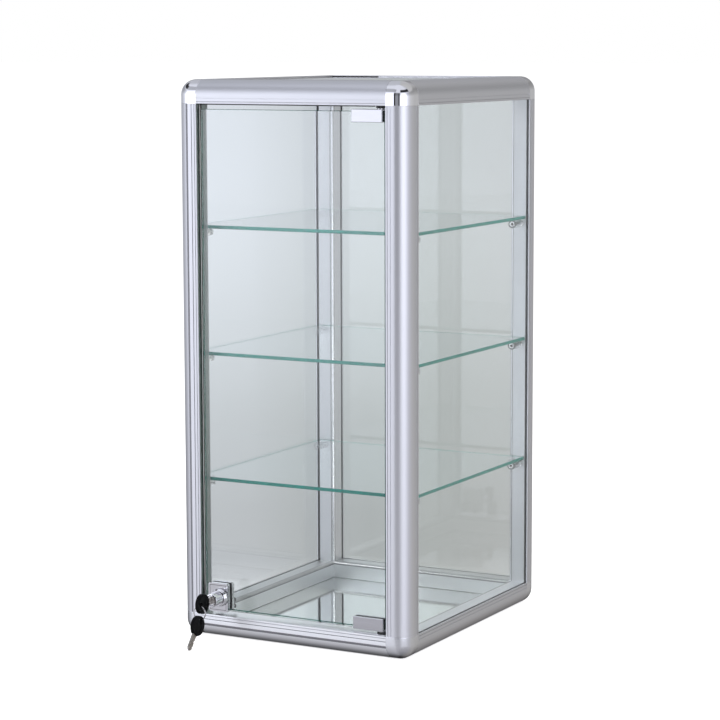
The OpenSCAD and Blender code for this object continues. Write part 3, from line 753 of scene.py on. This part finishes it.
pads, pins, bushes, grubs = [], [], [], []
for top in (False, True):
    def at(x, y, z, top=top):
        """Point from the hinge axis, with z counted into the doorway from the bar."""
        return Vector((HINGE.x + x, HINGE.y + y, CASE_H - BAR - z if top else BAR + z))

    shell = block_between(at(CLIP_X[0], CLIP_Y[0], CLIP_Z[0]), at(CLIP_X[1], CLIP_Y[1], CLIP_Z[1]))
    hollow = block_between(at(CLIP_X[0] - 1.5, -GRIP, WEB_Z), at(CLIP_X[1] + 1.5, GRIP, CLIP_Z[1] + 1.4))
    drill = turned([(0, -PAST), (PIN_HOLE_R, -PAST), (PIN_HOLE_R, WEB_Z + PAST), (0, WEB_Z + PAST)], at, 24)
    name = f"hinge_clip_{LEVEL_WORD[1 if top else -1]}"
    clip = softened(cut(shell, hollow, drill), 0.7, 3)
    finished(f"plate_{name}", clip, SATIN, "door", [name])
    for y0, y1 in ((0.05 - GRIP, -PAD_FROM), (PAD_FROM, GRIP - 0.05)):
        pads.append(block_between(at(CLIP_X[0] + 0.2, y0, WEB_Z + 0.25),
                                  at(CLIP_X[1] - 0.2, y1, CLIP_Z[1] - 0.1), 0.2))
    pins.append(turned(PIN, at, 32))
    bushes.append(turned(BUSH, at, 32))
    for step in (0, GRUB_PITCH):
        def rear(x, y, h, step=step, at=at):
            return at(GRUB_X - step + x, CLIP_Y[1] - 0.05 - h, GRUB_Z + y)
        grubs.append(turned(GRUB, rear, 24))
finished("hinge_rubber_pads", joined(*pads), RUBBER, "door", ["hinge_pads"])
finished("hinge_steel_pins", joined(*pins), STEEL, "door", ["hinge_pins"])
finished("hinge_nylon_bushes", joined(*bushes), NYLON, "case", ["hinge_bushes"])
finished("hinge_set_screws", joined(*grubs), BLACK_OXIDE_AND_SHADE, "door", ["hinge_grub_screws"])


# ---- lock ----

# X and Z from the lock's axis. Depths and the heights of the profiles are in front of the door glass.
HOUSING_X, HOUSING_Z, HOUSING_R = (-16, 10.5), (-17.8, 16.5), 2.5
HOUSING_FRONT, HOUSING_BACK = 6.3, -10.8
DOOR_T, PAD_T, WEB_T = 5.0, 0.8, 2.0
PLUG_R, BORE_R, BARREL_R, BARREL_END = 6.0, 6.06, 8.0, 27.3
BEZEL_R, BEZEL_FROM, BEZEL_TO = 11.0, 6.9, 12.4
CHAMBER_X, CHAMBER_DEPTH = (-10.4, 8.4), (2.0, 5.2)
TONGUE_X, TONGUE_DEPTH, TONGUE_PLAY = (-7, 1), (2.2, 4.2), 0.2
BOLT_X, BOLT_Z, TONGUE_END = (-10, 4), (1.2, 8), -17.4
SLOT_X, SLOT_Z = (-8.4, -2.8), (2.9, 6.1)
CAM_OFF, CAM_R = 4.5, 1.2
KEYWAY_HALF_W, KEYWAY_HALF_H, KEYWAY_FLOOR = 1.2, 4.3, 12.0
CLAMPS = [(x, z) for x in (6.5, -11.5) for z in (-6.5, -14)]
CLAMP_R, CLAMP_HOLE_R = 1.5, 1.55
ENGRAVED_IN, ENGRAVED_W, ENGRAVING_SHADE_AT, ENGRAVED_TO = 2.1, 0.5, 6.15, 5.9


def at_lock(x, y, z):
    return LOCK + Vector((x, y, z))


def ahead(x, y, h):
    """Point beside the lock's axis, h in front of the glass."""
    return at_lock(x, -h, y)


def beside(cx, cz):
    """As ahead, from an axis beside the lock's."""
    return lambda x, y, h: ahead(cx + x, cz + y, h)


def lock_pad(front, back):
    """Rubber pad, a little smaller than the housing, between two distances behind the glass's front."""
    return block(at_lock(HOUSING_X[0] + 0.2, front, HOUSING_Z[0] + WEB_T + 0.4),
                 at_lock(HOUSING_X[1] - 0.2, back, HOUSING_Z[1] - 0.2), 0.15)


def outline_strips(front):
    """The four strips of the outline engraved in the housing's face, from the engraving's floor forwards."""
    x0, x1 = HOUSING_X[0] + ENGRAVED_IN, HOUSING_X[1] - ENGRAVED_IN
    z0, z1 = HOUSING_Z[0] + ENGRAVED_IN, HOUSING_Z[1] - ENGRAVED_IN
    strips = [(x0, z0, x0 + ENGRAVED_W, z1), (x1 - ENGRAVED_W, z0, x1, z1),
              (x0, z0, x1, z0 + ENGRAVED_W), (x0, z1 - ENGRAVED_W, x1, z1)]
    return [block(at_lock(a, -front, b), at_lock(c, -ENGRAVED_TO, d)) for a, b, c, d in strips]


def shadow_ring(radius, height, thick):
    """Dark ring of painted shadow round the barrel, where two parts of the lock meet."""
    inner = radius - 1.2
    return turned([(inner, height), (radius, height), (radius, height + thick), (inner, height + thick)],
                  ahead, 64)


def lock_housing():
    """Clamp-on housing, cut out for the glass, the bolt and its tongue, the barrel, the clamp screws and the
    outline engraved in its face."""
    (left, right), (low, high) = HOUSING_X, HOUSING_Z
    corners = [(left, low), (right, low), (right, high), (left, high)]
    outline = rounded([(x, z, HOUSING_R) for x, z in corners])
    body = extruded(outline, ahead, HOUSING_BACK, HOUSING_FRONT, 0.7)
    gap = block(at_lock(-20, -PAD_T, low + WEB_T), at_lock(20, DOOR_T + PAD_T, 20))
    tongue_way = block(at_lock(TONGUE_X[0] - TONGUE_PLAY, -TONGUE_DEPTH[1] - TONGUE_PLAY, -19),
                       at_lock(TONGUE_X[1] + TONGUE_PLAY, -TONGUE_DEPTH[0] + TONGUE_PLAY, -1))
    chamber = block(at_lock(CHAMBER_X[0], -CHAMBER_DEPTH[1], low + WEB_T),
                    at_lock(CHAMBER_X[1], -CHAMBER_DEPTH[0], 10))
    bore = turned([(0, 4.0), (BORE_R, 4.0), (BORE_R, 7.0), (0, 7.0)], ahead, 64)
    clamp_holes = [turned([(0, -12), (CLAMP_HOLE_R, -12), (CLAMP_HOLE_R, -5.5), (0, -5.5)], beside(x, z), 20)
                   for x, z in CLAMPS]
    return cut(body, gap, chamber, tongue_way, bore, *outline_strips(HOUSING_FRONT + 0.2), *clamp_holes)


TURRET = [(BORE_R, 4.9), (BORE_R, BEZEL_FROM), (BEZEL_R - 0.3, BEZEL_FROM), (BEZEL_R, BEZEL_FROM + 0.3),
          (BEZEL_R, 8.6), (BEZEL_R - 0.4, 9.3), (9.8, 10.0), (9.8, 10.4), (9.4, 10.4), (8.6, 11.2),
          (7.6, 11.2), (7.6, BEZEL_TO), (BARREL_R, BEZEL_TO + 0.1), (BARREL_R, BARREL_END - 0.9),
          (BARREL_R - 0.5, BARREL_END - 0.15), (6.7, BARREL_END), (6.2, BARREL_END - 0.3),
          (BORE_R, BARREL_END - 0.7)]
CLAMP = [(0, -14.9), (1.4, -15.2), (1.6, -16.9), (2.5, -17.25), (2.95, -16.8), (2.95, -11.1), (2.7, -10.85),
         (CLAMP_R, -10.85), (CLAMP_R, -5.85), (0, -5.85)]
housing = lock_housing()
rings = [shadow_ring(BEZEL_R - 0.2, HOUSING_FRONT - 0.05, 0.7), shadow_ring(BARREL_R - 0.25, 11.15, 1.3)]
# The rings and the dark floor of the engraved outline are painted shade.
finished("lock_shadow_rings", joined(*rings, *outline_strips(ENGRAVING_SHADE_AT)), BLACK_OXIDE_AND_SHADE, "door",
         ["lock_body"])
finished("lock_housing", housing, LOCK_CHROME, "door", ["lock_body"])
finished("lock_turret", turned(TURRET, ahead, 64), CHROME, "door", ["lock_body"])
lock_pads = joined(lock_pad(0.02 - PAD_T, -0.02), lock_pad(DOOR_T + 0.02, DOOR_T + PAD_T - 0.02))
finished("lock_rubber_pads", lock_pads, RUBBER, "door", ["lock_pads"])
clamps = [turned(CLAMP, beside(x, z), 24) for x, z in CLAMPS]
finished("lock_black_screws", joined(*clamps), BLACK_OXIDE_AND_SHADE, "door", ["lock_clamp_screws"])

PLUG = [(0, 4.4), (7.9, 4.4), (8.0, 4.5), (8.0, 5.0), (7.9, 5.1), (PLUG_R, 5.1), (PLUG_R, BARREL_END - 1.7),
        (PLUG_R - 0.5, BARREL_END - 1), (0, BARREL_END - 1)]
CAM_PIN = [(0, 2.2), (CAM_R - 0.1, 2.2), (CAM_R, 2.3), (CAM_R, 4.6), (0, 4.6)]
keyway = block(at_lock(-KEYWAY_HALF_W, -30, -KEYWAY_HALF_H),
               at_lock(KEYWAY_HALF_W, -KEYWAY_FLOOR, KEYWAY_HALF_H))
plug = cut(turned(PLUG, ahead, 64), keyway)
cam_pin = turned(CAM_PIN, beside(-CAM_OFF, CAM_OFF), 24)
finished("lock_core", joined(plug, cam_pin), STEEL, "plug", ["lock_plug"])

bolt_outline = [(BOLT_X[0], BOLT_Z[0], 0.4), (TONGUE_X[0], BOLT_Z[0], 0), (TONGUE_X[0], TONGUE_END, 0.8),
                (TONGUE_X[1], TONGUE_END, 0.8), (TONGUE_X[1], BOLT_Z[0], 0), (BOLT_X[1], BOLT_Z[0], 0.4),
                (BOLT_X[1], BOLT_Z[1], 0.6), (BOLT_X[0], BOLT_Z[1], 0.6)]
bolt = extruded(rounded(bolt_outline), ahead, *TONGUE_DEPTH, 0.15)
cam_slot = block(at_lock(SLOT_X[0], -5, SLOT_Z[0]), at_lock(SLOT_X[1], -1, SLOT_Z[1]))
finished("lock_dropping_bolt", cut(bolt, cam_slot), STEEL, "bolt", ["lock_bolt"])


# ---- keys ----

# Along the key from the ring's hole, and half widths across it.
SHOULDER, TIP, ROOT = 17.75, 37.7, 12
NECK_HALF, BLADE_HALF, BLADE_HALF_T = 3.2, 4.0, 1.0
CUT_DEPTHS, FIRST_CUT, CUT_PITCH = (1.2, 2, 0.8, 1.6), 22, 3.6
MILLED_FROM, MILLED_TO, MILLED_HALF_W, MILLED_AT = 18.5, 39, 0.6, 0.55
GRIP_X, GRIP_R, GRIP_HALF_T = 6, 11.65, 2.5
GRIP_END, GRIP_END_HALF, GRIP_FLAT_HALF = 17.7, 4.35, 7.6
HOLE_R = 3.25
RECESS_X, RECESS_R, RECESS_FLOOR = 8.6, 6.3, 2.1


def circle_outline(x, radius, steps):
    """Circle about a point on the key's length."""
    around = [2 * math.pi * k / steps for k in range(steps)]
    return [Vector((x + radius * math.cos(a), radius * math.sin(a))) for a in around]


def placed_block(place, a, b):
    """Block between two opposite corners in a key's own axes."""
    bm = block((0, 0, 0), (1, 1, 1))
    for vert in bm.verts:
        vert.co = place(*(p + (q - p) * share for p, q, share in zip(a, b, vert.co)))
    bmesh.ops.recalc_face_normals(bm, faces=bm.faces)
    return bm


def key_blade(place, flat):
    """Blade with four cuts in its upper edge and a milled groove in each side."""
    corners = [(ROOT, -NECK_HALF, 0), (SHOULDER, -NECK_HALF, 0), (SHOULDER, -BLADE_HALF, 0.3),
               (TIP - 3, -BLADE_HALF, 0.4), (TIP, -1.5, 0.5), (TIP, 1.5, 0.5), (TIP - 3, BLADE_HALF, 0.4)]
    for i in reversed(range(len(CUT_DEPTHS))):
        depth, cut_at = CUT_DEPTHS[i], FIRST_CUT + CUT_PITCH * i
        corners += [(cut_at + depth, BLADE_HALF, 0.2), (cut_at, BLADE_HALF - depth, 0.3),
                    (cut_at - depth, BLADE_HALF, 0.2)]
    corners += [(SHOULDER, BLADE_HALF, 0.3), (SHOULDER, NECK_HALF, 0), (ROOT, NECK_HALF, 0)]
    blade = extruded(rounded(corners), flat, -BLADE_HALF_T, BLADE_HALF_T, 0.12)
    milled = []
    for side, up in ((-1, -1.3), (1, 1.0)):
        milled.append(placed_block(place, (side * MILLED_AT, MILLED_FROM, up - MILLED_HALF_W),
                                   (side * (MILLED_AT + 1), MILLED_TO, up + MILLED_HALF_W)))
    return cut(blade, *milled)


def key_grip(place, flat):
    """Round moulded grip with a flat end, a hole for the ring, a pocket for the blade and two recesses."""
    start = math.asin(GRIP_FLAT_HALF / GRIP_R)
    turns = [start + (2 * math.pi - 2 * start) * k / 60 for k in range(61)]
    rim = [Vector((GRIP_X + GRIP_R * math.cos(a), GRIP_R * math.sin(a))) for a in turns]
    rim += [Vector((GRIP_END, -GRIP_END_HALF)), Vector((GRIP_END, GRIP_END_HALF))]
    grip = extruded(rim, flat, -GRIP_HALF_T, GRIP_HALF_T, 0.9)
    hole = extruded(circle_outline(0, HOLE_R, 40), flat, -4, 4)
    pocket = placed_block(place, (-BLADE_HALF_T, ROOT, -NECK_HALF), (BLADE_HALF_T, ROOT + 7, NECK_HALF))
    recesses = []
    for face in (-1, 1):
        depths = sorted((face * RECESS_FLOOR, face * 4))
        recesses.append(extruded(circle_outline(RECESS_X, RECESS_R, 48), flat, *depths))
    for tool in (hole, *recesses):
        bmesh.ops.recalc_face_normals(tool, faces=tool.faces)
    return cut(grip, hole, pocket, *recesses)


def at_key(x, y, z):
    return at_lock(x, KEY_HOLE_Y + y, z)


RING_R, WIRE_OUT, WIRE_SIDE, TURN_SHIFT = 8.0, 0.58, 0.31, 0.34
RING_START, STEP_AT, STEP_LEN = 200, 0.94, 0.12
RING_CENTRE = Vector((LOCK.x, DOOR_Y + KEY_HOLE_Y, middle("key_ring").z))
LEAN = math.radians(38.5)
SPARE_DROP = 1.9


def at_spare(x, y, z):
    """The spare key hangs on the bottom of the ring and leans forwards."""
    along = Vector((0, -math.sin(LEAN), -math.cos(LEAN)))
    up = Vector((0, math.cos(LEAN), -math.sin(LEAN)))
    foot = RING_CENTRE - Vector((0, 0, RING_R))
    return foot + Vector((x, 0, 0)) + along * (y + SPARE_DROP) + up * z


def make_key(place, prefix, body):
    """Blade and moulded grip. place turns (across, along, up) from the grip's hole into a point."""
    def flat(u, v, w):
        return place(w, u, v)

    finished(f"{prefix}cut_blade", key_blade(place, flat), KEY_METAL, body,
             [f"{prefix}key_blade"])
    finished(f"{prefix}moulded_grip", key_grip(place, flat), KEY_PLASTIC, body,
             [f"{prefix}key_grip"])


make_key(at_key, "", "key")
make_key(at_spare, "spare_", "spare_key")


def split_ring():
    """Two turns of flattened wire side by side, with a step where one passes to the other."""
    bm = bmesh.new()
    steps, sides = 180, 12
    loops = []
    for k in range(steps + 1):
        t = 2 * k / steps
        a = 2 * math.pi * t + math.radians(RING_START)
        shift = TURN_SHIFT * (2 * min(1, max(0, (t - STEP_AT) / STEP_LEN)) - 1)
        loop = []
        for s in range(sides):
            b = 2 * math.pi * s / sides
            r = RING_R + WIRE_OUT * math.cos(b)
            y = shift + WIRE_SIDE * math.sin(b)
            loop.append(bm.verts.new(RING_CENTRE + Vector((r * math.cos(a), y, r * math.sin(a)))))
        loops.append(loop)
    for a, b in zip(loops, loops[1:]):
        for s in range(sides):
            m = (s + 1) % sides
            bm.faces.new((a[s], a[m], b[m], b[s]))
    bm.faces.new(loops[0][::-1])
    bm.faces.new(loops[-1])
    return bm


finished("split_key_ring", split_ring(), STEEL, "ring", ["key_ring"])


# ---- camera ----

PHOTO_PIXELS, FOCAL_PIXELS, SENSOR = 720, 2417.2, 36
CAMERA_PLACE = (1.3810, -2.5668, 0.7055)
YAW, PITCH, ROLL = (math.radians(a) for a in (28.361, -7.558, -0.167))

camera = bpy.data.objects.new("camera", bpy.data.cameras.new("camera"))
bpy.context.scene.collection.objects.link(camera)
camera.data.sensor_width = SENSOR
camera.data.lens = FOCAL_PIXELS * SENSOR / PHOTO_PIXELS
camera.data.clip_start, camera.data.clip_end = 0.05, 200
toward = Vector((-math.sin(YAW), math.cos(YAW), 0)) * math.cos(PITCH) + Vector((0, 0, math.sin(PITCH)))
level = Vector((math.cos(YAW), math.sin(YAW), 0))
upward = level.cross(toward)
right = level * math.cos(ROLL) + upward * math.sin(ROLL)
up = upward * math.cos(ROLL) - level * math.sin(ROLL)
facing = Matrix((right, up, -toward)).transposed().to_4x4()
camera.matrix_world = Matrix.Translation(Vector(CAMERA_PLACE)) @ facing
bpy.context.scene.camera = camera


# ---- surroundings: what the metal and glass mirror, and what stands behind the glass ----

world = bpy.data.worlds.new("studio")
bpy.context.scene.world = world
world.use_nodes = True
n = Nodes(world.node_tree)
dx, dy, dz = n.add("ShaderNodeSeparateXYZ", {0: n.add("ShaderNodeTexCoord").outputs["Generated"]}).outputs
turn = n.math("ADD", n.math("DIVIDE", n.math("ARCTAN2", dx, n.math("MULTIPLY", dy, -1)), 2 * math.pi), 0.5)
height = n.math("ADD", n.math("MULTIPLY", dz, 0.5), 0.5)


def by_turn(stops):
    """Tone by the angle in degrees from straight in front of the case, positive to its right."""
    return n.ramp(turn, [(angle / 360 + 0.5, value) for angle, value in stops])


def by_height(stops):
    """Tone by the angle in degrees above the horizon."""
    places = [(math.sin(math.radians(angle)) / 2 + 0.5, value) for angle, value in stops]
    return n.ramp(height, places, "LINEAR")


def shaded(around, upwards):
    return n.math("MULTIPLY", around, by_height(upwards))


def times(a, b):
    return n.add("ShaderNodeVectorMath", {0: a, 1: b}, operation="MULTIPLY").outputs[0]


def mixed(factor, a, b):
    return n.add("ShaderNodeMix", {"Factor": factor, "A": a, "B": b}).outputs["Result"]


def climbing(low, high):
    """0 below one height of the sky and 1 above another, in degrees."""
    low, high = (math.sin(math.radians(angle)) for angle in (low, high))
    return n.add("ShaderNodeMapRange", {"Value": dz, "From Min": low, "From Max": high}).outputs[0]


def background(colour, strength=1.0):
    return n.add("ShaderNodeBackground", {"Color": colour, "Strength": strength}).outputs[0]


WHITE = (1, 1, 1, 1)

# The room: bright to both sides of the front, with a grey wall between two dark strips straight ahead.
walls = shaded(by_turn([(-180, 0.48), (-160, 0.5), (-150, 0.52), (-125, 0.54), (-94, 0.6), (-72, 0.85),
                        (-55, 1.4), (-45, 2.0), (-27, 2.1), (-24, 2.0), (-21, 0.05), (-13, 0.06), (-8, 0.32),
                        (9, 0.32), (15, 0.06), (20, 0.05), (24, 1.2), (34, 2.0), (44, 2.3), (58, 2.3),
                        (70, 1.6), (84, 0.9), (104, 0.65), (125, 0.58), (145, 0.52), (180, 0.48)]),
               [(3, 1.0), (9, 0.8), (16, 0.65), (24, 0.58)])
ceiling = by_turn([(-180, 0.54), (-110, 0.58), (-60, 0.85), (60, 0.82), (110, 0.58), (180, 0.54)])
ground = shaded(by_turn([(-180, 0.22), (-170, 0.12), (-148, 0.05), (-118, 0.13), (-90, 0.36), (-60, 0.62),
                         (-45, 0.76), (-18, 0.78), (0, 0.58), (100, 0.54), (140, 0.5), (155, 0.48),
                         (166, 0.34), (180, 0.22)]),
                [(-90, 0.4), (-60, 0.62), (-45, 0.75), (-30, 0.85), (-20, 0.95), (-14, 1.0), (-9, 1.1)])
beams = shaded(by_turn([(-118, 0), (-108, 0.95), (-62, 0.95), (-50, 0.4), (-14, 0.5), (-8, 0), (22, 0),
                        (27, 0.95), (95, 0.95), (104, 0)]),
               [(29, 0), (31, 1), (46, 1), (51, 0)])
room = mixed(climbing(22, 30), mixed(climbing(-11, -7), ground, walls), ceiling)
room = n.math("MULTIPLY", room, n.math("SUBTRACT", 1.0, beams))

# What stands behind the case, seen through the glass from the front.
backdrop_low = by_turn([(-166, 0.78), (-160, 0.8), (-156, 0.8), (-154, 0.74), (-152, 0.68), (-150.2, 0.75),
                        (-149.3, 0.86), (-148.3, 0.9), (-144, 0.9), (-125, 0.6)])
backdrop_high = by_turn([(-166, 0.6), (-155, 0.61), (-153, 0.62), (-152, 0.62), (-151.2, 0.55),
                         (-150.2, 0.64), (-148.5, 0.8), (-144, 0.84), (-125, 0.6)])
backdrop = shaded(mixed(climbing(-12, -3), backdrop_low, backdrop_high),
                  [(-90, 0.65), (-30, 0.64), (-12.5, 0.66), (-11, 0.68), (-9, 0.73), (-7.8, 0.785),
                   (-6.2, 0.89), (-4.6, 0.985), (-3, 1.02), (-2, 1.0), (3, 0.95), (10, 0.86), (11, 0.9),
                   (12.5, 1.4), (16, 1.42), (30, 1.2), (90, 0.8)])
behind = by_turn([(-120, 1), (-105, 0), (120, 0), (140, 1)])

# The room seen through the glass to the sides and in front, darker than the metal mirrors it.
inside_low = by_turn([(-50, 0.6), (-28.5, 0.6), (-26, 0.9), (-20, 1.0)])
inside_high = by_turn([(-50, 0.85), (-28.5, 0.85), (-26, 1.0), (8, 1.0), (22, 0.5), (34, 0.34), (70, 0.38),
                       (95, 0.8)])
inside = n.math("MULTIPLY", mixed(climbing(-9, -2), inside_low, inside_high), room)
ahead_of_case = by_turn([(-23, 0), (-19, 1), (20, 1), (28, 0)])
inside = mixed(ahead_of_case, inside, by_turn([(-30, 0.7), (30, 0.55)]))
seen = shaded(mixed(behind, inside, backdrop), [(-14.5, 1.9), (-13.4, 1.8), (-12.8, 1.25), (-12.4, 1.0)])

tint = times(by_height([(-14, (1.0, 0.99, 0.985)), (-8.5, (0.98, 1.0, 1.0)), (-3, (0.98, 1.0, 1.03))]),
             by_turn([(-165, (1.0, 0.975, 0.99)), (-156, (0.985, 0.98, 0.99)), (-153, (0.97, 1.0, 1.0)),
                      (-148, (0.975, 0.985, 1.05)), (-60, (0.97, 0.98, 1.06)), (90, (0.98, 0.98, 1.06)),
                      (112, (1.02, 1.0, 0.99)), (160, (1.02, 1.0, 0.98))]))
path = n.add("ShaderNodeLightPath").outputs
lit = n.add("ShaderNodeMixShader", {0: path["Is Glossy Ray"], 1: background(WHITE, 0.55),
                                    2: background(times(room, tint))}).outputs[0]
lit = n.add("ShaderNodeMixShader", {0: path["Is Transmission Ray"], 1: lit,
                                    2: background(times(seen, tint))}).outputs[0]
shown = n.add("ShaderNodeMixShader", {0: path["Is Camera Ray"], 1: lit, 2: background(WHITE)}).outputs[0]
n.add("ShaderNodeOutputWorld", {"Surface": shown})


# ---- lamps and paper ----

LAMP_AIM = Vector((0, 0, 0.33))


def softbox(name, place, size, power):
    """Soft lamp aimed at the middle of the case. The metal doesn't mirror it."""
    lamp = bpy.data.lights.new(name, "AREA")
    lamp.shape = "RECTANGLE"
    lamp.size, lamp.size_y = size
    lamp.energy = power
    box = bpy.data.objects.new(name, lamp)
    bpy.context.scene.collection.objects.link(box)
    box.location = place
    box.rotation_mode = "QUATERNION"
    box.rotation_quaternion = (LAMP_AIM - Vector(place)).to_track_quat("-Z", "Y")
    box.visible_glossy = False


softbox("key_light", (-2.2, -2.4, 2.6), (2.0, 2.0), 60)
softbox("fill_light", (2.6, -1.2, 1.8), (1.6, 2.2), 40)


def paper_finish():
    """White paper with a glow that only the camera sees. Mirrored and refracted rays pass through it."""
    made, n = empty_material("paper")
    path = n.add("ShaderNodeLightPath").outputs
    plain = n.add("ShaderNodeBsdfDiffuse", {"Color": (0.85, 0.85, 0.85, 1)}).outputs[0]
    glow = n.add("ShaderNodeEmission", {"Color": WHITE, "Strength": 0.66}).outputs[0]
    bright = n.add("ShaderNodeAddShader", {0: plain, 1: glow}).outputs[0]
    clear = n.add("ShaderNodeBsdfTransparent").outputs[0]
    look = n.add("ShaderNodeMixShader", {0: path["Is Camera Ray"], 1: plain, 2: bright}).outputs[0]
    mirrored = n.math("MAXIMUM", path["Is Glossy Ray"], path["Is Transmission Ray"])
    n.output(n.add("ShaderNodeMixShader", {0: mirrored, 1: look, 2: clear}).outputs[0])
    return made


PAPER_HALF, PAPER_DROP = 60, 0.0002
bm = bmesh.new()
bmesh.ops.create_grid(bm, x_segments=1, y_segments=1, size=PAPER_HALF)
floor = as_object("floor", bm)
floor.location.z = -PAPER_DROP
floor.data.materials.append(paper_finish())

bpy.context.scene.view_settings.view_transform = "Standard"
